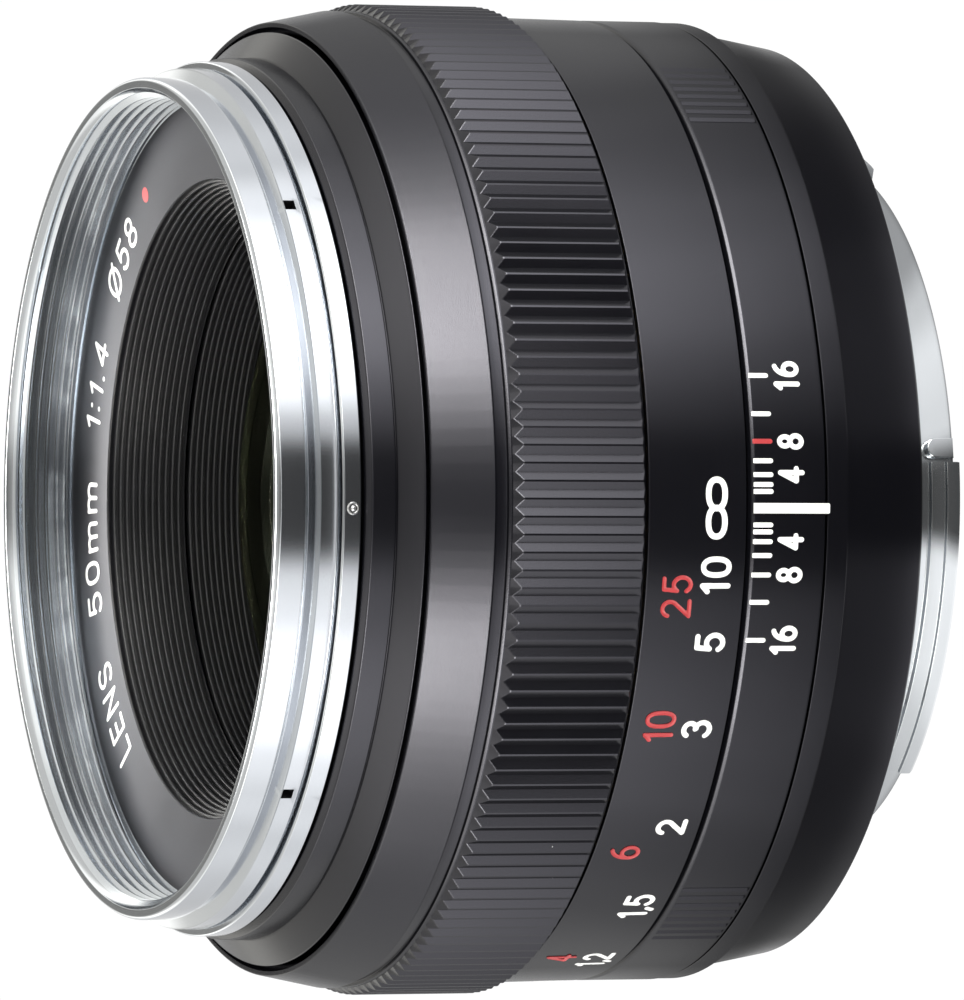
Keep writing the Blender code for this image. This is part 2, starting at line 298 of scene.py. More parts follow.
def add_sky():
    """Soft boxes at both sides of the camera, a dim ceiling and one soft box above the far side."""
    world = bpy.data.worlds.new("studio")
    world.use_nodes = True
    bpy.context.scene.world = world
    tree = world.node_tree
    tree.nodes.clear()
    way = node(tree, "TexCoord").outputs["Generated"]
    part = node(tree, "SeparateXYZ", [("Vector", way)]).outputs
    round_ = azimuth_of(tree, part[0], part[1])
    side = level_round(tree, round_, SKY_ROUND)
    low = ramp(tree, part[2], SIDE_BAND)
    ceiling = level(tree, part[2], CEILING)
    strip = ramp(tree, maths(tree, "ABSOLUTE", part[0]), DARK_STRIP)
    back = level_round(tree, round_, FAR_ROUND)
    band = ramp(tree, part[2], FAR_BAND)
    far = maths(tree, "MULTIPLY", maths(tree, "MULTIPLY", back, band), FAR_BOX)
    total = maths(tree, "ADD", maths(tree, "MULTIPLY", side, low), maths(tree, "MULTIPLY", ceiling, strip))
    total = maths(tree, "ADD", total, far)
    sky = node(tree, "Background", [("Color", SKY_TINT), ("Strength", total)])
    node(tree, "OutputWorld", [("Surface", sky.outputs[0])])


# Materials

SPECK_SIZE = 0.022
SPECK_COLOUR = (0.45, 0.45, 0.44, 1.0)


def finish_of(name, colour, roughness, metallic=0.0, ior=1.5, mottle=0.12, grain=0.0, grain_size=0.1,
              turning=0.0, turning_step=0.05, dust=0.0, tint=None, coat=0.0, soft_rim=0.0,
              gleam=(1.0, 1.0, 1.0)):
    """A machined, coated or painted surface.

    mottle varies colour and roughness, grain is a fine blasted bump of grain_size, turning is a bump of
    lathe marks turning_step apart, dust is the share of the dust cells that hold a bright speck, and
    soft_rim is the index that a dyed surface falls to when it is seen at a glancing angle. gleam tints the
    reflection.
    """
    made, tree = new_material(name)
    shader = tree.nodes["Principled BSDF"]
    place = node(tree, "TexCoord").outputs["Object"]

    cloud = noise(tree, place, 160.0, 5.0)
    fine = noise(tree, place, 1.0 / (grain_size * MM), 2.0)
    mixed = maths(tree, "ADD", maths(tree, "MULTIPLY", cloud, 0.6), maths(tree, "MULTIPLY", fine, 0.4))
    dark = [channel * (1.0 - mottle) for channel in colour]
    light = [channel * (1.0 + mottle) for channel in (tint or colour)]
    base = blend(tree, remap(tree, mixed, 0.3, 0.7), (*dark, 1.0), (*light, 1.0))
    if dust:
        cells = node(tree, "TexVoronoi", [("Vector", place), ("Scale", 420.0), ("Randomness", 1.0)])
        near = maths(tree, "LESS_THAN", cells.outputs["Distance"], SPECK_SIZE)
        chosen = node(tree, "SeparateColor", [("Color", cells.outputs["Color"])]).outputs[0]
        speck = maths(tree, "MULTIPLY", near, maths(tree, "LESS_THAN", chosen, dust))
        base = blend(tree, speck, base, SPECK_COLOUR)
    tree.links.new(base, shader.inputs["Base Color"])

    rough = remap(tree, cloud, 0.25, 0.75, roughness * (1.0 - mottle), roughness * (1.0 + mottle))
    tree.links.new(rough, shader.inputs["Roughness"])

    normal = None
    if turning:
        part = node(tree, "SeparateXYZ", [("Vector", place)]).outputs
        flat = node(tree, "CombineXYZ", [("X", part[0]), ("Y", part[1])]).outputs[0]
        out = node(tree, "VectorMath", [(0, flat)], operation="LENGTH").outputs["Value"]
        across = node(tree, "CombineXYZ", [("X", out), ("Y", part[2])]).outputs[0]
        marks = noise(tree, across, 1.0 / (turning_step * MM), 3.0)
        inputs = [("Strength", turning), ("Distance", 0.02 * MM), ("Height", marks)]
        normal = node(tree, "Bump", inputs).outputs["Normal"]
    if grain:
        inputs = [("Strength", grain), ("Distance", 0.05 * MM), ("Height", fine)]
        if normal:
            inputs.append(("Normal", normal))
        normal = node(tree, "Bump", inputs).outputs["Normal"]
    if normal:
        tree.links.new(normal, shader.inputs["Normal"])
    shader.inputs["Metallic"].default_value = metallic
    shader.inputs["Specular Tint"].default_value = (*gleam, 1.0)
    shader.inputs["IOR"].default_value = ior
    if soft_rim:
        facing = node(tree, "LayerWeight", [("Blend", 0.5)]).outputs["Facing"]
        tree.links.new(remap(tree, facing, 0.28, 0.78, ior, soft_rim), shader.inputs["IOR"])
    shader.inputs["Coat Weight"].default_value = coat
    return made


def glass_of(name, colour, sheen_low, sheen_high):
    """Coated optical glass: it bends light fully but reflects little, between two coating colours."""
    made, tree = new_material(name)
    place = node(tree, "TexCoord").outputs["Object"]
    cloud = noise(tree, place, 90.0, 2.0)
    base = blend(tree, cloud, (*colour, 1.0), (*[channel * 0.97 for channel in colour], 1.0))
    clear = node(tree, "BsdfRefraction", [("Color", base), ("Roughness", 0.0), ("IOR", 1.6)])
    sheen = blend(tree, cloud, (*sheen_low, 1.0), (*sheen_high, 1.0))
    gloss = node(tree, "BsdfGlossy", [("Color", sheen), ("Roughness", 0.02)])
    facing = node(tree, "Fresnel", [("IOR", 1.12)]).outputs[0]
    whole = node(tree, "MixShader", [(0, facing), (1, clear.outputs[0]), (2, gloss.outputs[0])])
    take_surface(tree, whole)
    return made


COOL = (0.90, 0.89, 1.0)
ANODISED = finish_of("black_anodised", (0.0034, 0.0034, 0.0048), 0.21, ior=1.59, mottle=0.08, grain=0.10,
                     grain_size=0.09, dust=0.012, soft_rim=1.11, gleam=COOL)
SATIN = finish_of("black_anodised_satin", (0.0024, 0.0024, 0.0034), 0.21, ior=1.59, mottle=0.07, grain=0.06,
                  grain_size=0.08, turning=0.10, turning_step=0.08, dust=0.012, soft_rim=1.11, gleam=COOL)
NAME_BLACK = finish_of("name_ring_black", (0.0040, 0.0040, 0.0048), 0.34, ior=1.6, mottle=0.06, grain=0.10,
                       gleam=COOL)
SILVER = finish_of("silver_anodised", (0.51, 0.53, 0.56), 0.14, metallic=1.0, mottle=0.04, turning=0.04,
                   turning_step=0.06)
THREAD_SILVER = finish_of("silver_thread", (0.62, 0.65, 0.69), 0.20, metallic=1.0, mottle=0.04)
CHROME = finish_of("chrome_plate", (0.56, 0.58, 0.60), 0.16, metallic=1.0, mottle=0.03, turning=0.06,
                   turning_step=0.10)
# Matt black paint on the inner parts, also used as painted shade on the floors of the hood notches.
MATT_BLACK_AND_NOTCH_SHADE = finish_of("matt_black_paint_and_painted_notch_shade", (0.007, 0.007, 0.008), 0.5, ior=1.45, mottle=0.25, grain=0.25,
                       grain_size=0.12)
RIDGE_BLACK = finish_of("ridge_black", (0.020, 0.020, 0.023), 0.36, ior=1.8, mottle=0.2, turning=0.25,
                        turning_step=0.05)
PLASTIC = finish_of("moulded_black_plastic", (0.015, 0.015, 0.016), 0.45, ior=1.5, mottle=0.15, grain=0.3,
                    grain_size=0.2)
STEEL = finish_of("turned_steel", (0.55, 0.55, 0.56), 0.28, metallic=1.0, mottle=0.1, grain=0.1, turning=0.1)
BRASS = finish_of("machined_brass", (0.70, 0.52, 0.25), 0.28, metallic=1.0, mottle=0.1, turning=0.25,
                  tint=(0.74, 0.58, 0.32))
GOLD = finish_of("gold_plate", (0.88, 0.64, 0.27), 0.18, metallic=1.0, mottle=0.06, grain=0.05)
BOARD = finish_of("circuit_board", (0.006, 0.016, 0.010), 0.5, mottle=0.25, grain=0.3, grain_size=0.4,
                  tint=(0.010, 0.026, 0.016), coat=0.2)
BLADE = finish_of("blade_black", (0.02, 0.02, 0.021), 0.4, metallic=0.6, mottle=0.2, grain=0.1)
WHITE_PAINT = finish_of("white_engraving_paint", (0.94, 0.94, 0.93), 0.4, mottle=0.03, grain=0.05)
RED_PAINT = finish_of("red_engraving_paint", (0.46, 0.045, 0.05), 0.4, mottle=0.1, grain=0.05)
FRONT_GLASS = glass_of("front_glass", (0.80, 0.84, 0.79), (0.5, 0.62, 0.42), (0.6, 0.5, 0.35))
INNER_GLASS = glass_of("inner_glass", (0.92, 0.94, 0.91), (0.35, 0.6, 0.45), (0.55, 0.35, 0.55))


# Mesh helpers

def around(radius, azimuth, height):
    angle = math.radians(azimuth)
    return Vector((-radius * math.sin(angle), -radius * math.cos(angle), height))


def new_object(name, bm, looks=()):
    """An object in the scene that takes over a mesh."""
    mesh = bpy.data.meshes.new(name)
    bm.to_mesh(mesh)
    bm.free()
    for look in looks:
        mesh.materials.append(look)
    made = bpy.data.objects.new(name, mesh)
    bpy.context.scene.collection.objects.link(made)
    return made


def finish_piece(name, bm, looks, body, sharp=35.0, weighted=True):
    """Turn a mesh drawn in millimetres into a piece that rides on a body."""
    bmesh.ops.remove_doubles(bm, verts=bm.verts, dist=1e-5)
    bmesh.ops.recalc_face_normals(bm, faces=bm.faces)
    bmesh.ops.scale(bm, verts=bm.verts, vec=(MM, MM, MM))
    piece = new_object(name, bm, looks)
    piece.data.shade_smooth()
    piece.data.set_sharp_from_angle(angle=math.radians(sharp))
    if weighted:
        even = piece.modifiers.new("Even normals", "WEIGHTED_NORMAL")
        even.keep_sharp = True
        even.weight = 80
    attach(piece, body)
    return piece


def stand_for(cad_node, bm, look, sharp=35.0, extra=()):
    """The finished piece for one CAD node, on the same body, with the CAD part hidden."""
    piece = finish_piece(cad_node + "_finish", bm, [look, *extra], BODY_OF[cad_node], sharp)
    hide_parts(cad_node)
    return piece


def rounded(corners, edge=EDGE, steps=3):
    """A closed outline of (radius, height) corners, each broken by edge, or by its own third value."""
    points = []
    count = len(corners)
    for i, corner in enumerate(corners):
        size = corner[2] if len(corner) > 2 else edge
        here = Vector(corner[:2])
        if not size:
            points.append(tuple(here))
            continue
        before = (Vector(corners[i - 1][:2]) - here).normalized() * size + here
        after = (Vector(corners[(i + 1) % count][:2]) - here).normalized() * size + here
        for step in range(steps + 1):
            t = step / steps
            points.append(tuple(before * (1 - t) ** 2 + here * (2 * t * (1 - t)) + after * t * t))
    return points


def skin(bm, rows, capped=False):
    """Faces between closed rows of vertices, and over both end rows if it is capped."""
    count = len(rows[0])
    for here, there in zip(rows, rows[1:]):
        for i in range(count):
            j = (i + 1) % count
            bm.faces.new((here[i], here[j], there[j], there[i]))
    if capped:
        bm.faces.new(rows[0])
        bm.faces.new(rows[-1][::-1])


def column_rows(bm, columns):
    return [[bm.verts.new(around(r, azimuth, z)) for r, z in outline] for azimuth, outline in columns]


def loft(columns):
    """A ring through (azimuth, outline) columns that go once round the axis and end where they start."""
    bm = bmesh.new()
    skin(bm, column_rows(bm, columns))
    bmesh.ops.remove_doubles(bm, verts=bm.verts, dist=1e-5)
    bmesh.ops.dissolve_degenerate(bm, edges=bm.edges, dist=1e-6)
    return bm


def turned(outline, columns=COLUMNS):
    return loft([(360.0 * step / columns, outline) for step in range(columns + 1)])


def sections(cuts, columns=COLUMNS):
    """Azimuths once round with the kind of outline at each: cuts are (start, end, kind), else it is None."""
    step = 360.0 / columns
    rows = []
    at = 0.0
    for start, end, kind in sorted(cuts):
        rows += spread(at, start, None, step) + spread(start, end, kind, step)
        at = end
    return rows + spread(at, 360.0, None, step)


def spread(start, end, kind, step):
    count = max(1, math.ceil((end - start) / step - 1e-9))
    return [(start + (end - start) * i / count, kind) for i in range(count + 1)]


def add_turned_rod(bm, centre, direction, outline, sides=24):
    """A small turned solid on its own axis; outline is (radius, distance along), from the axis and back."""
    turn = Vector(direction).normalized().to_track_quat("Z", "Y").to_matrix()
    loops = []
    for radius, along in outline:
        if radius == 0.0:
            loops.append([bm.verts.new(Vector(centre) + turn @ Vector((0.0, 0.0, along)))] * sides)
            continue
        angles = [2.0 * math.pi * i / sides for i in range(sides)]
        spots = [Vector((radius * math.cos(a), radius * math.sin(a), along)) for a in angles]
        loops.append([bm.verts.new(Vector(centre) + turn @ spot) for spot in spots])
    for here, there in zip(loops, loops[1:]):
        for i in range(sides):
            j = (i + 1) % sides
            corners = []
            for vert in (here[i], here[j], there[j], there[i]):
                if vert not in corners:
                    corners.append(vert)
            if len(corners) > 2:
                bm.faces.new(corners)


def upright_rod(cad_node, foot, outline, look, sides=24):
    bm = bmesh.new()
    add_turned_rod(bm, foot, UPWARD, outline, sides)
    return stand_for(cad_node, bm, look)


def turned_from(cad_node, corners, look):
    stand_for(cad_node, turned(rounded(corners)), look)


def inner_ring(cad_node, corners, look=MATT_BLACK_AND_NOTCH_SHADE, edge=EDGE):
    stand_for(cad_node, turned(rounded(corners, edge), INNER_COLUMNS), look)


# Engraved marks

def line(*points):
    return [Vector(p) for p in points]


def arc(cx, cy, rx, ry, start, end, steps=14):
    turns = [math.radians(start + (end - start) * i / steps) for i in range(steps + 1)]
    return [Vector((cx + rx * math.cos(t), cy + ry * math.sin(t))) for t in turns]


def loop(cx, cy, rx, ry, square=2.0, steps=32):
    """A closed oval; a larger square value flattens its sides."""
    points = []
    for i in range(steps + 1):
        t = 2.0 * math.pi * i / steps
        c, s = math.cos(t), math.sin(t)
        points.append(Vector((cx + rx * math.copysign(abs(c) ** (2 / square), c),
                              cy + ry * math.copysign(abs(s) ** (2 / square), s))))
    return points


# Pen lines of each sign in a box one high, with the width of the box
SIGNS = {
    "0": (0.58, [loop(0.29, 0.5, 0.29, 0.5, 2.4)]),
    "1": (0.22, [line((0, 0.8), (0.21, 1), (0.21, 0))]),
    "2": (0.58, [arc(0.28, 0.72, 0.28, 0.28, 165, -35) + line((0, 0), (0.58, 0))]),
    "3": (0.56, [arc(0.26, 0.76, 0.26, 0.24, 155, -80), arc(0.26, 0.28, 0.29, 0.28, 85, -150)]),
    "4": (0.62, [line((0.62, 0.27), (0, 0.27), (0.42, 1), (0.42, 0))]),
    "5": (0.58, [line((0.52, 1), (0.1, 1), (0.05, 0.5)) + arc(0.28, 0.32, 0.29, 0.32, 140, -150)]),
    "6": (0.58, [loop(0.29, 0.3, 0.29, 0.3), arc(0.52, 0.36, 0.52, 0.64, 180, 100)]),
    "7": (0.56, [line((0, 1), (0.56, 1), (0.16, 0))]),
    "8": (0.58, [loop(0.29, 0.76, 0.235, 0.24), loop(0.29, 0.26, 0.29, 0.26)]),
    ",": (0.08, [line((0.09, 0.04), (0, -0.16))]),
    ".": (0.02, [line((0, 0), (0.02, 0))]),
    ":": (0.02, [line((0, 0.12), (0.02, 0.12)), line((0, 0.72), (0.02, 0.72))]),
    " ": (0.3, []),
    "L": (0.48, [line((0, 1), (0, 0), (0.48, 0))]),
    "E": (0.52, [line((0.52, 1), (0, 1), (0, 0), (0.52, 0)), line((0, 0.52), (0.44, 0.52))]),
    "N": (0.6, [line((0, 0), (0, 1), (0.6, 0), (0.6, 1))]),
    "S": (0.56, [arc(0.28, 0.75, 0.27, 0.25, 25, 270) + arc(0.28, 0.25, 0.28, 0.25, 90, -155)]),
    "m": (0.8, [line((0, 0), (0, 0.64)), arc(0.2, 0.44, 0.2, 0.2, 180, 0) + line((0.4, 0)),
                 arc(0.6, 0.44, 0.2, 0.2, 180, 0) + line((0.8, 0))]),
    "O": (0.74, [loop(0.37, 0.5, 0.37, 0.5, 2.2), line((0.06, -0.06), (0.68, 1.06))]),
}
INFINITY = [loop(-0.98, 0.0, 1.0, 0.62, 2.3), loop(0.98, 0.0, 1.0, 0.62, 2.3)]


def written(text, height, pen, gap=0.36, stretch=1.0):
    """Pen lines for a text centred on the origin, height tall over its outer edges."""
    tall = height - pen
    lines = []
    at = 0.0
    for sign in text:
        width, strokes = SIGNS[sign]
        for stroke in strokes:
            lines.append([Vector((at + p.x * tall * stretch, p.y * tall - tall / 2)) for p in stroke])
        at += width * tall * stretch + pen + gap
    middle = (at - pen - gap) / 2
    return [[Vector((p.x - middle, p.y)) for p in stroke] for stroke in lines]


def distance_to(lines, x, y):
    """How far each grid point is from the nearest pen line."""
    best = np.full(x.shape, 1e9)
    for stroke in lines:
        for a, b in zip(stroke, stroke[1:]):
            dx, dy = b.x - a.x, b.y - a.y
            length = dx * dx + dy * dy
            if length < 1e-12:
                continue
            t = np.clip(((x - a.x) * dx + (y - a.y) * dy) / length, 0.0, 1.0)
            best = np.minimum(best, np.hypot(x - a.x - t * dx, y - a.y - t * dy))
    return best


def add_marks(bm, lines, pen, place, proud=0.012, dish=0.0, sunk=0.06, grid=0.07):
    """The area within half a pen of the lines as one thin solid: place(x, y, lift) puts a point on the part.

    The outline is found cell by cell on a grid (marching squares). dish makes the middle of a stroke lower
    than its edges, like paint in an engraved groove.
    """
    flat = [p for stroke in lines for p in stroke]
    half = pen / 2
    xs, ys = (np.arange(min(side) - half - grid, max(side) + half + 2 * grid, grid) for side in zip(*flat))
    gx, gy = np.meshgrid(xs, ys, indexing="ij")
    away = distance_to(lines, gx, gy)
    inside = away < half
    points = {}

    def corner(i, j):
        return points.setdefault((i, j), (xs[i], ys[j], away[i, j] / half))

    def crossing(i, j, k, l):
        a, b = away[i, j], away[k, l]
        t = (half - a) / (b - a)
        key = (min(i, k), min(j, l), i != k)
        return key, points.setdefault(key, (xs[i] + t * (xs[k] - xs[i]), ys[j] + t * (ys[l] - ys[j]), 1.0))

    polygons = []
    for i in range(len(xs) - 1):
        for j in range(len(ys) - 1):
            around_cell = ((i, j), (i + 1, j), (i + 1, j + 1), (i, j + 1))
            if not any(inside[c] for c in around_cell):
                continue
            outline = []
            for c, d in zip(around_cell, around_cell[1:] + around_cell[:1]):
                if inside[c]:
                    corner(*c)
                    outline.append(c)
                if inside[c] != inside[d]:
                    outline.append(crossing(*c, *d)[0])
            if len(outline) > 2:
                polygons.append(outline)
    upper, lower = {}, {}
    for key, (x, y, share) in points.items():
        upper[key] = bm.verts.new(place(x, y, proud + dish * share * share))
        lower[key] = bm.verts.new(place(x, y, -sunk))
    sides = {}
    for outline in polygons:
        bm.faces.new([upper[key] for key in outline])
        bm.faces.new([lower[key] for key in reversed(outline)])
        for a, b in zip(outline, outline[1:] + outline[:1]):
            if (b, a) in sides:
                del sides[(b, a)]
            else:
                sides[(a, b)] = True
    for a, b in sides:
        bm.faces.new((upper[b], upper[a], lower[a], lower[b]))


def on_wall(azimuth, height, radius_at):
    """Put marks on an upright wall: x runs toward smaller azimuths, y runs toward the front."""
    def place(x, y, lift):
        z = height + y
        r = radius_at(z)
        return around(r + lift, azimuth - math.degrees(x / r), z)
    return place


def marks_piece(name, bm, look, body):
    return finish_piece(name, bm, [look], body, sharp=40.0, weighted=False)


# The silver front ring

NOTCH_AZIMUTHS = (41.0, 317.4)
NOTCH_WIDTH = 0.85
NOTCH_DEPTH = 0.9
NOTCH_FRONT = RIM - 3.0
NOTCH_BACK = RIM - 3.8
INDEX_SCREW_AZIMUTH = 0.3
INDEX_SCREW_HEIGHT = RIM - 5.15
INDEX_SCREW = ((0.0, 0.14), (0.13, 0.12), (0.2, 0.06), (0.28, 0.06), (0.34, 0.13), (0.39, 0.13), (0.46, 0.05),
               (0.46, -0.3), (0.0, -0.3))
INDEX_SCREW_GROOVE = (0.2, 0.28)
HOOD_R = 30.68
THREAD_FRONT = RIM - 0.42
THREAD_BACK = top("name_ring") + 0.12


def thread_points(turn):
    """The filter thread at one azimuth, front to back: flat crests and roots joined by 60 degree flanks."""
    root = THREAD_MAJOR_R - 0.03
    shape = ((0.00, THREAD_MINOR_R), (0.14, THREAD_MINOR_R), (0.48, root), (0.62, root))
    turns = int((THREAD_FRONT - THREAD_BACK) / PITCH) + 3
    waves = []
    for n in range(-1, turns):
        for share, radius in shape:
            waves.append((THREAD_FRONT + 0.3 - (n + share - turn) * PITCH, radius))
    points = []
    for height, radius in waves:
        if height > THREAD_FRONT or height < THREAD_BACK:
            height = max(THREAD_BACK, min(THREAD_FRONT, height))
            radius = radius_on(waves, height)
        lead_in = THREAD_MINOR_R + max(0.0, height - (THREAD_FRONT - 0.35))
        points.append((max(radius, lead_in), height))
    return points


def radius_on(waves, height):
    for (high, r_high), (low, r_low) in zip(waves, waves[1:]):
        if high >= height >= low:
            return r_low if high == low else r_low + (r_high - r_low) * (height - low) / (high - low)
    return waves[0][1]


def front_ring_outline(azimuth, kind):
    """The silver ring at one azimuth: lip, neck, hood bayonet and its groove, plain band, then the thread."""
    pocket = HOOD_R - NOTCH_DEPTH if kind == "notch" else HOOD_R
    outside = rounded((
        (29.25, RIM, 0.05), (29.8, RIM, 0.1), (LIP_R, RIM - 0.25, 0.12), (LIP_R, RIM - 2.12, 0.1),
        (29.5, RIM - 2.45, 0.1), (30.6, RIM - 2.97, 0.04),
        (HOOD_R, NOTCH_FRONT, 0), (pocket, NOTCH_FRONT, 0), (pocket, NOTCH_BACK, 0), (HOOD_R, NOTCH_BACK, 0),
        (30.75, RIM - 4.13, 0.05), (30.25, RIM - 4.2, 0.03), (30.25, RIM - 4.37, 0.03),
        (31.1, RIM - 4.4, 0.02), (BAND_R, RIM - 4.5, 0.05), (BAND_R, RIM - 5.75, 0.1),
        (28.55, RIM - 5.75, 0.05), (28.55, THREAD_BACK - 0.34, 0.03), (THREAD_MAJOR_R, THREAD_BACK - 0.06, 0),
    ))
    return outside + list(reversed(thread_points(azimuth / 360.0)))


def add_front_ring():
    half = math.degrees(NOTCH_WIDTH / 2 / HOOD_R)
    cuts = [(azimuth - half, azimuth + half, "notch") for azimuth in NOTCH_AZIMUTHS]
    bm = loft([(azimuth, front_ring_outline(azimuth, kind)) for azimuth, kind in sections(cuts)])
    ring = stand_for("front_bayonet_ring", bm, SILVER, extra=[MATT_BLACK_AND_NOTCH_SHADE, THREAD_SILVER])
    # The notch floors take the matt black as painted shade of the deep hood notches; the thread faces take
    # the thread silver.
    for face in ring.data.polygons:
        spot = face.center / MM
        sunk = 29.6 < spot.xy.length < 30.5 and NOTCH_BACK - 0.01 < spot.z < NOTCH_FRONT + 0.01
        azimuth = math.degrees(math.atan2(-spot.x, -spot.y)) % 360.0
        if sunk and any(start - 0.01 < azimuth < end + 0.01 for start, end, _ in cuts):
            face.material_index = 1
        if spot.xy.length < THREAD_MAJOR_R + 0.01:
            face.material_index = 2

    bm = bmesh.new()
    middle = around(BAND_R - 0.05, INDEX_SCREW_AZIMUTH, INDEX_SCREW_HEIGHT)
    add_turned_rod(bm, middle, around(1.0, INDEX_SCREW_AZIMUTH, 0.0), INDEX_SCREW, 32)
    screw = finish_piece("hood_index_screw", bm, [STEEL, MATT_BLACK_AND_NOTCH_SHADE], "front_unit")
    low, high = INDEX_SCREW_GROOVE
    for face in screw.data.polygons:
        spot = face.center / MM
        out = math.hypot(spot.x - middle.x, spot.z - middle.z)
        face.material_index = 1 if low < out < high else 0


# Name ring and funnel

NAME_OUT_R = 28.5
NAME_IN_R = 22.85
NAME_FRONT = top("name_ring")
NAME_TEXT_R = 25.55
NAME_TEXT = "LENS  50mm  1:1.4  O58"
NAME_TEXT_AZIMUTH = 181.0
NAME_PEN = 0.32
RED_DOT_AZIMUTH = 238.0
RED_DOT_SIZE = 1.1
RIDGE_DEPTH = 0.34


def name_ring_height(radius):
    return NAME_FRONT - 0.72 * (NAME_OUT_R - radius) / (NAME_OUT_R - NAME_IN_R)


def on_name_ring(azimuth, radius):
    def place(x, y, lift):
        r = radius + y
        return around(r, azimuth + math.degrees(x / radius), name_ring_height(r) + lift)
    return place


def add_name_ring():
    turned_from("name_ring", ((NAME_OUT_R, NAME_FRONT, 0.12), (NAME_IN_R, name_ring_height(NAME_IN_R), 0.05),
                              (NAME_IN_R, 46.5), (NAME_OUT_R, 47.0)), NAME_BLACK)
    bm = bmesh.new()
    strokes = written(NAME_TEXT, 2.3, NAME_PEN, 0.62, 1.25)
    add_marks(bm, strokes, NAME_PEN, on_name_ring(NAME_TEXT_AZIMUTH, NAME_TEXT_R))
    marks_piece("name_ring_text", bm, WHITE_PAINT, "front_unit")
    bm = bmesh.new()
    dot = line((-0.01, 0.0), (0.01, 0.0))
    add_marks(bm, [dot], RED_DOT_SIZE, on_name_ring(RED_DOT_AZIMUTH, NAME_TEXT_R + 0.2))
    marks_piece("name_ring_red_dot", bm, RED_PAINT, "front_unit")


def ridged_funnel(front_r, front_z, back_r, back_z, ridges, wall):
    """A funnel whose inside is a stair of sharp ridges that keep stray light from the glass."""
    step_r = (front_r - back_r) / ridges
    step_z = (front_z - back_z) / ridges
    inside = []
    for n in range(ridges):
        r, z = front_r - n * step_r, front_z - n * step_z
        inside += [(r + 0.03, z), (r, z - 0.05), (r, z - 0.13)]
        inside += [(r + RIDGE_DEPTH, z - 0.24), (r + RIDGE_DEPTH, z - step_z + 0.03)]
    return inside + [(back_r, back_z), (back_r + wall, back_z)]


def add_funnels():
    front = ridged_funnel(22.8, 47.1, 20.85, 41.8, 12, 1.0) + [(23.3, 46.1), (23.0, 46.35)]
    stand_for("baffle_front", turned(front), RIDGE_BLACK)
    rear = ridged_funnel(20.6, 41.5, 19.45, 37.75, 9, 0.9) + [(21.5, 41.45)]
    stand_for("baffle_rear", turned(rear), RIDGE_BLACK)


# Barrels and rings that show

def add_front_barrel():
    turned_from("front_barrel", (
        (31.0, 46.8), (31.5, 46.4, 0.12), (31.5, 44.66, 0.04), (31.42, 44.56, 0.03), (31.55, 44.5, 0.04),
        (33.4, 43.22, 0.1), (33.38, 43.05), (32.7, 43.0), (32.7, 30.6), (31.6, 30.6), (31.6, 41.4),
        (28.4, 41.4), (28.4, 43.0), (30.2, 43.0), (30.2, 46.8),
    ), SATIN)


def grip_outline(crest):
    """The focus ring through a rib's crest, or through the valley beside it."""
    rib = GRIP_R if crest else GRIP_R - RIB_DEPTH
    front = GRIP_VALLEY_FRONT - (0.5 if crest else 0.0)
    back = GRIP_VALLEY_BACK + (0.2 if crest else 0.0)
    cone = rounded((
        (33.72, GRIP_FRONT), (34.1, GRIP_FRONT, 0.12), (35.02, 38.62, 0.08), (34.7, 38.46, 0.04),
        (34.7, 37.67, 0.03), (34.93, 37.61, 0.01), (LAND_R, 37.42, 0.01), (LAND_R, 37.3, 0.03),
    ))
    ribbed = [(rib - 0.02, front + 0.04), (rib, front - 0.05), (rib, back + 0.03), (rib - 0.03, back - 0.02)]
    inside = rounded(((34.95, GRIP_BACK, 0.04), (33.25, GRIP_BACK), (33.25, 42.1), (33.55, 42.3)))
    return cone + ribbed + inside


def add_grip_ring():
    """Ribs all round, each with a narrow flat crest and slanted flanks that meet in a sharp valley."""
    pitch = 360.0 / RIBS
    half = math.degrees(RIB_CREST / 2 / GRIP_R)
    crest, valley = grip_outline(True), grip_outline(False)
    columns = [(0.0, valley)]
    for n in range(RIBS):
        middle = (n + 0.5) * pitch
        columns += [(middle - half, crest), (middle + half, crest), ((n + 1) * pitch, valley)]
    stand_for("focus_grip_ring", loft(columns), ANODISED, sharp=12.0)


def scale_radius(height):
    return SCALE_R - SCALE_TAPER * (SCALE_FRONT - height) / (SCALE_FRONT - SCALE_BACK)


def add_scale_ring():
    turned_from("distance_scale_ring", (
        (33.35, SCALE_BACK), (33.9, SCALE_BACK, 0), (33.9, SCALE_SKIRT, 0),
        (SCALE_R - SCALE_TAPER, SCALE_SKIRT, 0.06), (SCALE_R, SCALE_FRONT, 0.08), (33.35, SCALE_FRONT),
    ), ANODISED)


def focus_azimuth(metres):
    """Where the focus ring carries a distance: the lens formula, measured from the image plane."""
    reach = metres / FOCAL_LENGTH - 2.0
    return FOCUS_DEGREES * (reach - math.sqrt(reach * reach - 4.0)) / 2.0


METRES = ("10", "5", "3", "2", "1,5", "1,2", "1", "0,8", "0,7", "0,6", "0,5", "0,45")
FEET = ("25", "10", "6", "4", "3", "2,5", "2", "1,5")
METRE_HEIGHT = 22.0
FEET_HEIGHT = 24.85
INFINITY_PEN = 0.42
METRE_PEN = 0.38
FEET_PEN = 0.30
NUMBER_TALL = 2.3


def add_numbers(bm, numbers, unit, height, pen, stretch=1.0, **paint):
    """Each number where its distance, in units of so many metres, comes to the index mark."""
    for text in numbers:
        gap = 0.12 if "," in text else 0.36
        distance = float(text.replace(",", ".")) * unit
        place = on_wall(focus_azimuth(distance), height, scale_radius)
        add_marks(bm, written(text, NUMBER_TALL, pen, gap, stretch), pen, place, **paint)


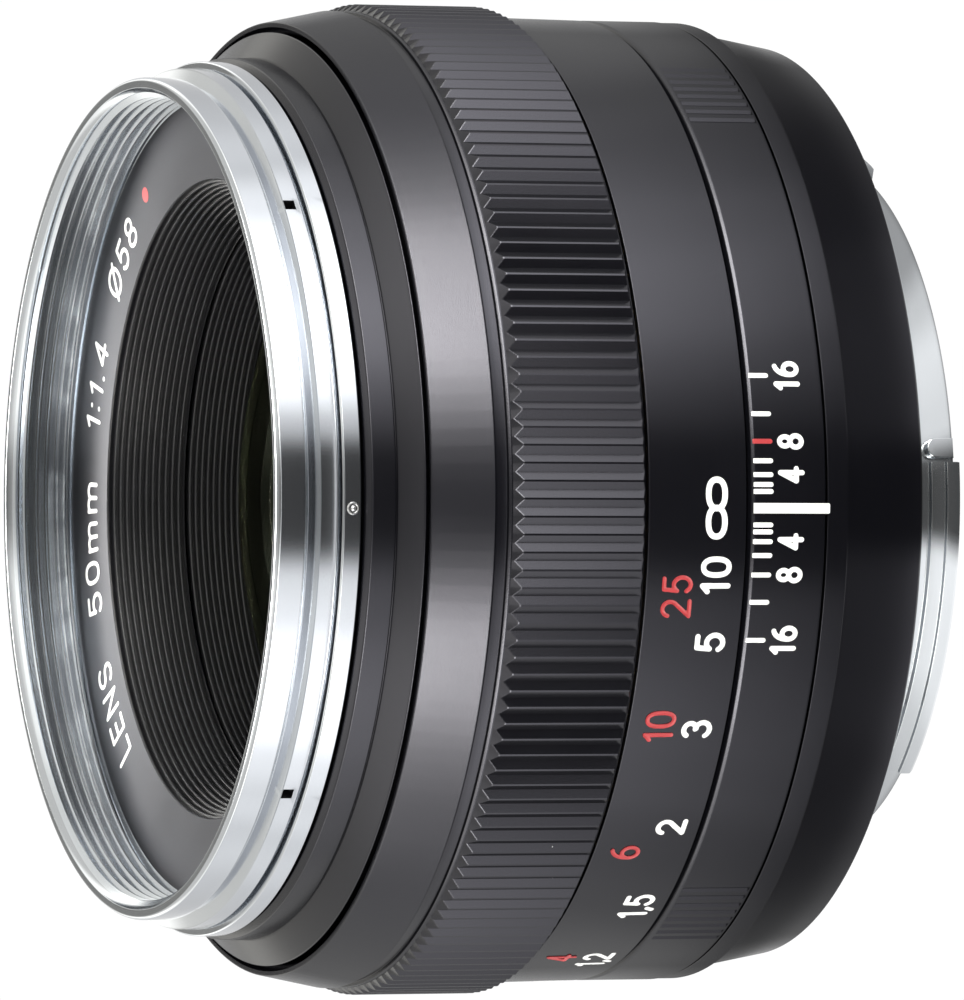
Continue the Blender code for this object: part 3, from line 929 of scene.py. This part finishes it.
def add_distance_numbers():
    bm = bmesh.new()
    add_marks(bm, INFINITY, INFINITY_PEN, on_wall(0.0, METRE_HEIGHT + 0.1, scale_radius))
    add_numbers(bm, METRES, 1.0, METRE_HEIGHT, METRE_PEN)
    marks_piece("distance_numbers_metres", bm, WHITE_PAINT, "focus")
    bm = bmesh.new()
    add_numbers(bm, FEET, FOOT, FEET_HEIGHT, FEET_PEN, 0.9, proud=0.01, dish=0.05)
    marks_piece("distance_numbers_feet", bm, RED_PAINT, "focus")


BEVEL = 0.36
GRIP_AZIMUTHS = (50.8, 63.6)
GRIP_CUTS = 8
GRIP_CUT_DEPTH = 0.14
GRIP_CUT_SHAPE = ((0.22, None), (0.5, "cut"), (0.78, None))


def depth_radius(height):
    return DEPTH_R - max(0.0, height - (DEPTH_FRONT - BEVEL))


def depth_outline(kind):
    """The fixed ring, with a narrow and a wide bevel at its front, plain or through a grip cut."""
    cut = DEPTH_R - (GRIP_CUT_DEPTH if kind else 0.0)
    return rounded((
        (33.15, DEPTH_BACK), (DEPTH_R, DEPTH_BACK - 0.06, 0.05), (DEPTH_R, 14.1, 0), (cut, 14.13, 0),
        (cut, 19.1, 0), (DEPTH_R, 19.13, 0), (DEPTH_R, DEPTH_FRONT - 0.42, 0.01),
        (DEPTH_R - 0.057, DEPTH_FRONT - 0.2, 0.01), (DEPTH_R - BEVEL, DEPTH_FRONT, 0.04),
        (33.15, DEPTH_FRONT),
    ))


def add_depth_ring():
    """The fixed ring, with a short patch of fine grip cuts at both sides."""
    low, high = GRIP_AZIMUTHS
    pitch = (high - low) / GRIP_CUTS
    rows = []
    at = 0.0
    for start in (low, 360.0 - high):
        rows += spread(at, start, None, 360.0 / COLUMNS)
        for n in range(GRIP_CUTS):
            rows += [(start + (n + share) * pitch, kind) for share, kind in GRIP_CUT_SHAPE]
        at = start + high - low
    rows += spread(at, 360.0, None, 360.0 / COLUMNS)
    stand_for("depth_scale_ring", loft([(azimuth, depth_outline(kind)) for azimuth, kind in rows]), ANODISED,
              sharp=14.0)


INDEX_WIDTH = 0.72
INDEX_BACK = 13.7
INDEX_PEN = 0.2
MARK_SUNK = 0.3
MARK_PEN = 0.34
MARK_FRONT = 19.42
MARK_BACK = 17.85
DEPTH_TEXT_HEIGHT = 16.5
DEPTH_TEXT_TALL = 2.0
DEPTH_TEXT_PEN = 0.36
STOPS = 7                   # f/2 and every full stop up to f/16
INFRARED_STOP = 4
NUMBERED_STOPS = (2, 4, 6)


def add_depth_marks():
    bm = bmesh.new()
    half = (INDEX_WIDTH - INDEX_PEN) / 2
    low, high = INDEX_BACK, MARK_FRONT - INDEX_PEN / 2
    strokes = [line((-half, low), (half, low), (half, high), (-half, high), (-half, low))]
    strokes += [line((x, low), (x, high)) for x in (-half / 2, 0.0, half / 2)]
    add_marks(bm, strokes, INDEX_PEN, on_wall(0.0, 0.0, depth_radius), sunk=MARK_SUNK)
    infrared = bmesh.new()
    for k in range(STOPS):
        stop = 2.0 * 2.0 ** (k / 2.0)
        for side in (1, -1):
            azimuth = side * DEPTH_DEGREES * stop
            red = side < 0 and k == INFRARED_STOP
            tick = line((0.0, MARK_BACK + MARK_PEN / 2), (0.0, MARK_FRONT - MARK_PEN / 2))
            place = on_wall(azimuth, 0.0, depth_radius)
            add_marks(infrared if red else bm, [tick], MARK_PEN, place, sunk=MARK_SUNK)
            if k in NUMBERED_STOPS:
                strokes = written(str(round(stop)), DEPTH_TEXT_TALL, DEPTH_TEXT_PEN, 0.3, 0.84)
                add_marks(bm, strokes, DEPTH_TEXT_PEN, on_wall(azimuth, DEPTH_TEXT_HEIGHT, depth_radius))
    marks_piece("depth_of_field_marks", bm, WHITE_PAINT, "rear_body")
    marks_piece("infrared_mark", infrared, RED_PAINT, "rear_body")


def add_rear_shell():
    turned_from("rear_shell", (
        (32.5, SHELL_SKIRT), (32.95, SHELL_SKIRT, 0.1), (34.05, 12.02, 0.06), (SHELL_R, 12.16, 0.08),
        (SHELL_R, SHELL_FRONT + 0.14, 0.06), (33.1, SHELL_FRONT), (33.1, 12.3), (32.5, 11.0),
    ), ANODISED)


# Mount and rear

THROAT_R = 24.9
BORE_R = 22.8
LUG_R = 26.2
FLANGE_R = 32.3
HUB_R = 31.4
FLANGE_BACK = 5.6
FLANGE_FRONT = 6.2
HUB_FRONT = 7.4
LUGS = ((-7.0, 47.0, "long"), (242.0, 291.6, "short"), (113.0, 167.0, "short"))
SCREW_AZIMUTHS = (35.0, 145.0, -35.0, -145.0)
SCREW_CIRCLE_R = 28.4


def mount_outline(kind):
    """The mount at one azimuth: the throat wall, with a lug or plain, then the flange and the hub."""
    lug = ((LUG_R - 0.3, 0.0, 0.06), (LUG_R, 0.3, 0.06), (LUG_R, 1.1, 0.04))
    throat = ((THROAT_R, 1.95, 0.05), (THROAT_R, FLANGE_BACK, 0.0))
    if kind == "long":
        wall = lug + ((LUG_R - 0.25, 1.16, 0.03), (LUG_R - 0.25, 2.2, 0.05), (25.6, 2.26, 0.05),
                      (25.6, FLANGE_BACK, 0.0))
    elif kind == "short":
        wall = lug + ((LUG_R, 1.4, 0.03), (LUG_R, 1.85, 0.05)) + throat
    else:
        wall = ((THROAT_R - 0.15, 0.0, 0.06), (THROAT_R, 0.15, 0.06), (THROAT_R, 1.1, 0.04),
                (THROAT_R, 1.4, 0.03), (THROAT_R, 1.85, 0.05)) + throat
    return rounded(wall + (
        (FLANGE_R, FLANGE_BACK, 0.03), (FLANGE_R, FLANGE_FRONT, 0.02), (HUB_R, FLANGE_FRONT),
        (HUB_R, HUB_FRONT), (BORE_R, HUB_FRONT), (BORE_R, 0.0, 0.15),
    ))


def cut_away(piece, bm, name):
    """Cut a closed mesh in millimetres from a piece, at once."""
    bmesh.ops.recalc_face_normals(bm, faces=bm.faces)
    bmesh.ops.scale(bm, verts=bm.verts, vec=(MM, MM, MM))
    cutter = new_object(name, bm)
    step = piece.modifiers.new("Cut", "BOOLEAN")
    step.operation = "DIFFERENCE"
    step.solver = "EXACT"
    step.object = cutter
    even = piece.modifiers.get("Even normals")
    even.show_viewport = False
    bpy.context.view_layer.update()
    made = bpy.data.meshes.new_from_object(piece.evaluated_get(bpy.context.evaluated_depsgraph_get()))
    piece.modifiers.remove(step)
    even.show_viewport = True
    piece.data = made
    made.name = piece.name
    made.set_sharp_from_angle(angle=math.radians(35.0))
    bpy.data.objects.remove(cutter)


def add_mount():
    first = LUGS[0][0]
    cuts = [(start - first, end - first, kind) for start, end, kind in LUGS]
    bm = loft([(azimuth + first, mount_outline(kind)) for azimuth, kind in sections(cuts)])
    mount = stand_for("bayonet_mount", bm, CHROME)
    holes = bmesh.new()
    for azimuth in SCREW_AZIMUTHS:
        add_turned_rod(holes, around(SCREW_CIRCLE_R, azimuth, 0.0), UPWARD, SCREW_HOLE, SCREW_SIDES)
    cut_away(mount, holes, "screw_holes")
    for number, azimuth in enumerate(SCREW_AZIMUTHS, start=1):
        add_screw(f"mount_screw_{number}", around(SCREW_CIRCLE_R, azimuth, 0.0))


CROSS_HALF = 0.16
CROSS_REACH = 0.85
CROSS_HEIGHTS = (5.3, 6.15)
CROSS_TURN = 20.0
SCREW_HEAD = ((0.0, 5.72), (1.45, 5.72), (1.55, 5.8), (0.75, 6.55), (0.75, 8.7), (0.6, 8.8), (0.0, 8.8))
SCREW_HOLE = ((0.0, 5.0), (1.8, 5.0), (1.8, 5.75), (1.0, 6.6), (1.0, 8.0), (0.0, 8.0))
SCREW_SIDES = 32


def add_screw(cad_node, foot):
    """A countersunk screw with a cross slot, head toward the camera body."""
    screw = upright_rod(cad_node, foot, SCREW_HEAD, STEEL, SCREW_SIDES)
    slot = bmesh.new()
    rings = [[], []]
    arm_end = ((CROSS_HALF, CROSS_REACH), (-CROSS_HALF, CROSS_REACH), (-CROSS_HALF, CROSS_HALF))
    for quarter in range(4):
        turn = Matrix.Rotation(math.radians(90.0 * quarter + CROSS_TURN), 3, "Z")
        for across, along in arm_end:
            for ring, height in zip(rings, CROSS_HEIGHTS):
                ring.append(slot.verts.new(foot + turn @ Vector((across, along, height))))
    skin(slot, rings, capped=True)
    cut_away(screw, slot, "cross_slot")


STOP_AZIMUTH = -9.4
STOP_WIDTH = 1.44


def add_stop_pin():
    """The stop beside the first lug: a low bar let into the throat, with a round front end."""
    half = STOP_WIDTH / 2
    turns = [math.radians(a) for a in range(0, 181, 12)]
    outline = [(-half, 0.3), (half, 0.3), *[(half * math.cos(t), 1.6 + half * math.sin(t)) for t in turns]]
    centre = Vector((0.0, 1.1))
    bm = bmesh.new()
    rows = []
    for radius, inset in ((24.4, 0.0), (25.5, 0.0), (25.62, 0.04), (25.66, 0.12)):
        row = []
        for x, z in outline:
            pull = (centre - Vector((x, z))).normalized() * inset
            azimuth = STOP_AZIMUTH + math.degrees((x + pull.x) / radius)
            row.append(bm.verts.new(around(radius, azimuth, z + pull.y)))
        rows.append(row)
    skin(bm, rows, capped=True)
    stand_for("lug_stop_pin", bm, CHROME)


def block(inner_r, outer_r, low, high):
    """The corners of a plain ring's section."""
    return (inner_r, low), (outer_r, low), (outer_r, high), (inner_r, high)


def arc_block(inner_r, outer_r, low, high, start, end, edge=0.12, steps=24):
    """A slice of a ring with broken edges."""
    outline = rounded(block(inner_r, outer_r, low, high), edge)
    small = rounded(block(inner_r + edge, outer_r - edge, low + edge, high - edge), edge * 0.6)
    inset = math.degrees(edge / outer_r)
    middle = spread(start + inset, end - inset, outline, (end - start) / steps)
    columns = [(start, small)] + middle + [(end, small)]
    bm = bmesh.new()
    skin(bm, column_rows(bm, columns), capped=True)
    return bm


KEY_AZIMUTHS = (90.0, 270.0)
KEY_HALF = 3.2
KEY_SLOT_HALF = 4.0
CONTACTS = 7
CONTACT_STEP = 6.6
CONTACT_R = 20.6
CONTACT_PIN = ((0.0, 0.2), (0.45, 0.22), (0.68, 0.3), (0.8, 0.45), (0.8, 0.88), (0.0, 0.88))


def add_rear_parts():
    stand_for("contact_block", arc_block(18.4, 22.4, 0.9, 4.6, 153.0, 207.0), PLASTIC)
    for number in range(1, CONTACTS + 1):
        azimuth = 180.0 + (number - (CONTACTS + 1) / 2) * CONTACT_STEP
        upright_rod(f"contact_pin_{number}", around(CONTACT_R, azimuth, 0.0), CONTACT_PIN, GOLD)
    inner_ring("rear_baffle", (
        (15.6, 1.2, 0.3), (17.9, 1.2, 0.3), (17.9, 6.4), (16.6, 6.4), (16.6, 2.2), (15.6, 2.0),
    ), PLASTIC)
    inner_ring("circuit_board", block(16.6, 27.4, 9.5, 10.3), BOARD, 0.03)
    for number, azimuth in enumerate(KEY_AZIMUTHS, start=1):
        key = arc_block(28.6, 30.4, 12.0, 21.4, azimuth - KEY_HALF, azimuth + KEY_HALF, 0.2, 6)
        stand_for(f"guide_key_{number}", key, BRASS)


# Inside

def add_inside():
    inner_ring("main_barrel", (
        (24.6, 7.8), (31.8, 7.8), (31.8, 13.2), (32.8, 13.6), (32.8, 21.6), (30.8, 21.6), (30.8, 9.1),
        (24.6, 9.1),
    ))
    inner_ring("focus_helicoid", (
        (29.95, 22.0), (32.85, 22.0), (32.85, 29.0), (30.9, 29.0), (30.9, 40.0), (29.95, 40.0),
    ), BRASS)
    add_lens_barrel()
    inner_ring("front_lens_cell", (
        (19.75, 37.6), (19.75, 36.3), (16.4, 36.1), (16.4, 29.9), (14.45, 29.9), (14.45, 25.0), (15.4, 25.0),
        (17.4, 29.0), (17.4, 31.0), (27.9, 31.0), (27.9, 32.4), (21.0, 32.4), (21.0, 37.6),
    ))
    inner_ring("rear_lens_cell", (
        (12.85, 21.1), (12.85, 10.95), (13.4, 10.9), (13.4, 2.9), (14.9, 2.9), (14.9, 17.5), (27.9, 17.5),
        (27.9, 18.8), (14.9, 18.8), (14.3, 21.1),
    ))
    inner_ring("rear_retaining_ring", block(12.6, 14.7, 1.9, 2.6))


def add_lens_barrel():
    """The sliding tube, with a long slot at each side for its guide key."""
    def outline(kind):
        return rounded(block(28.25, 29.5, 24.0 if kind else 10.0, 41.0))
    cuts = [(azimuth - KEY_SLOT_HALF, azimuth + KEY_SLOT_HALF, "slot") for azimuth in KEY_AZIMUTHS]
    bm = loft([(azimuth, outline(kind)) for azimuth, kind in sections(cuts, INNER_COLUMNS)])
    stand_for("lens_barrel", bm, MATT_BLACK_AND_NOTCH_SHADE)


def sag(radius, curve):
    """How far a spherical surface drops from its vertex at a radius."""
    size = abs(curve)
    return math.copysign(size - math.sqrt(size * size - radius * radius), curve)


def on_face(radius, vertex, curve):
    return radius, vertex - sag(radius, curve)


def add_element(number, front, front_curve, back, back_curve, edge_r, look, back_edge_r=None, rings=14):
    """A glass element with true spherical faces and a ground rim."""
    back_r = back_edge_r or edge_r
    bevel = 0.12
    lift = 0.0 if back_edge_r else bevel * 0.3
    outline = [on_face(edge_r * i / rings, front, front_curve) for i in range(rings)]
    outline.append(on_face(edge_r - bevel, front, front_curve))
    outline.append(on_face(edge_r, front - bevel * 0.3, front_curve))
    outline.append((edge_r, back - sag(back_r, back_curve) + lift))
    outline.append(on_face(back_r - bevel, back, back_curve))
    outline += [on_face(back_r * i / rings, back, back_curve) for i in range(rings - 1, -1, -1)]
    upright_rod(f"element_{number}", (0, 0, 0), outline, look, 96)


def add_glass():
    add_element(1, 42.5, 40.0, 38.0, 150.0, 19.3, FRONT_GLASS)
    add_element(2, 37.6, 25.0, 33.2, 45.0, 16.0, INNER_GLASS)
    add_element(3, 31.8, 80.0, 30.4, 16.5, 14.0, INNER_GLASS, back_edge_r=12.2)
    add_element(4, 17.2, -22.0, 15.9, 60.0, 12.5, INNER_GLASS)
    add_element(5, 15.78, 60.0, 10.2, -26.0, 12.5, INNER_GLASS)
    add_element(6, 9.8, -120.0, 6.2, -32.0, 13.0, INNER_GLASS)
    add_element(7, 5.8, 80.0, 2.9, -90.0, 13.0, FRONT_GLASS)


IRIS_MOTOR = ((0.0, 0.0), (2.15, 0.0), (2.3, 0.15), (2.3, 6.6), (2.15, 6.75), (1.7, 6.75), (1.7, 7.2),
              (0.5, 7.25), (0.5, 8.0), (0.0, 8.0))
BLADES = 9
BLADE_FLOOR = 22.15
BLADE_PITCH = 0.28
BLADE_THICK = 0.13
BLADE_SWEEP = 84.0
BLADE_INNER_R = 12.7
BLADE_OUTER_R = 18.9
BLADE_STEPS = 48


def add_iris():
    inner_ring("iris_housing", (
        (13.3, 21.45), (22.3, 21.45), (22.3, 25.6), (21.8, 25.6), (21.8, 21.8), (13.3, 21.8),
    ), edge=0.04)
    inner_ring("iris_drive_ring", block(19.8, 21.4, 22.2, 24.4))
    upright_rod("iris_motor", around(25.2, 40.0, 19.2), IRIS_MOTOR, STEEL, 48)
    for number in range(1, BLADES + 1):
        add_blade(number)


def add_blade(number):
    """A thin crescent with a round heel at its pivot and a tapered tip."""
    start = 360.0 * (number - 1) / BLADES
    low = BLADE_FLOOR + (number - 1) * BLADE_PITCH
    middle_r = (BLADE_INNER_R + BLADE_OUTER_R) / 2
    half = (BLADE_OUTER_R - BLADE_INNER_R) / 2
    steps = BLADE_STEPS
    outline = []
    for side in (1.0, -1.0):
        order = range(steps + 1) if side > 0 else range(steps, -1, -1)
        for i in order:
            along = BLADE_SWEEP * i / steps
            heel = math.sqrt(max(0.0, 1.0 - max(0.0, 1.0 - along / 6.0) ** 2))
            tip = math.sqrt(max(0.0, 1.0 - max(0.0, 1.0 - (BLADE_SWEEP - along) / 14.0) ** 2))
            width = half * heel * (1.0 if side < 0 else tip)
            outline.append(around(middle_r + side * width, start - along, 0.0))
    bm = bmesh.new()
    lower = [bm.verts.new((p.x, p.y, low)) for p in outline]
    upper = [bm.verts.new((p.x, p.y, low + BLADE_THICK)) for p in outline]
    count = len(outline)
    for i in range(steps):
        j = count - 1 - i
        bm.faces.new((lower[i], lower[i + 1], lower[j - 1], lower[j]))
        bm.faces.new((upper[i + 1], upper[i], upper[j], upper[j - 1]))
    skin(bm, [lower, upper])
    stand_for(f"iris_blade_{number}", bm, BLADE)


# Build


add_camera()
add_floor()
add_sky()
bpy.context.scene.view_settings.view_transform = "Standard"

add_front_ring()
add_name_ring()
add_funnels()
add_front_barrel()
add_grip_ring()
add_scale_ring()
add_distance_numbers()
add_depth_ring()
add_depth_marks()
add_rear_shell()
add_mount()
add_stop_pin()
add_rear_parts()
add_inside()
add_glass()
add_iris()
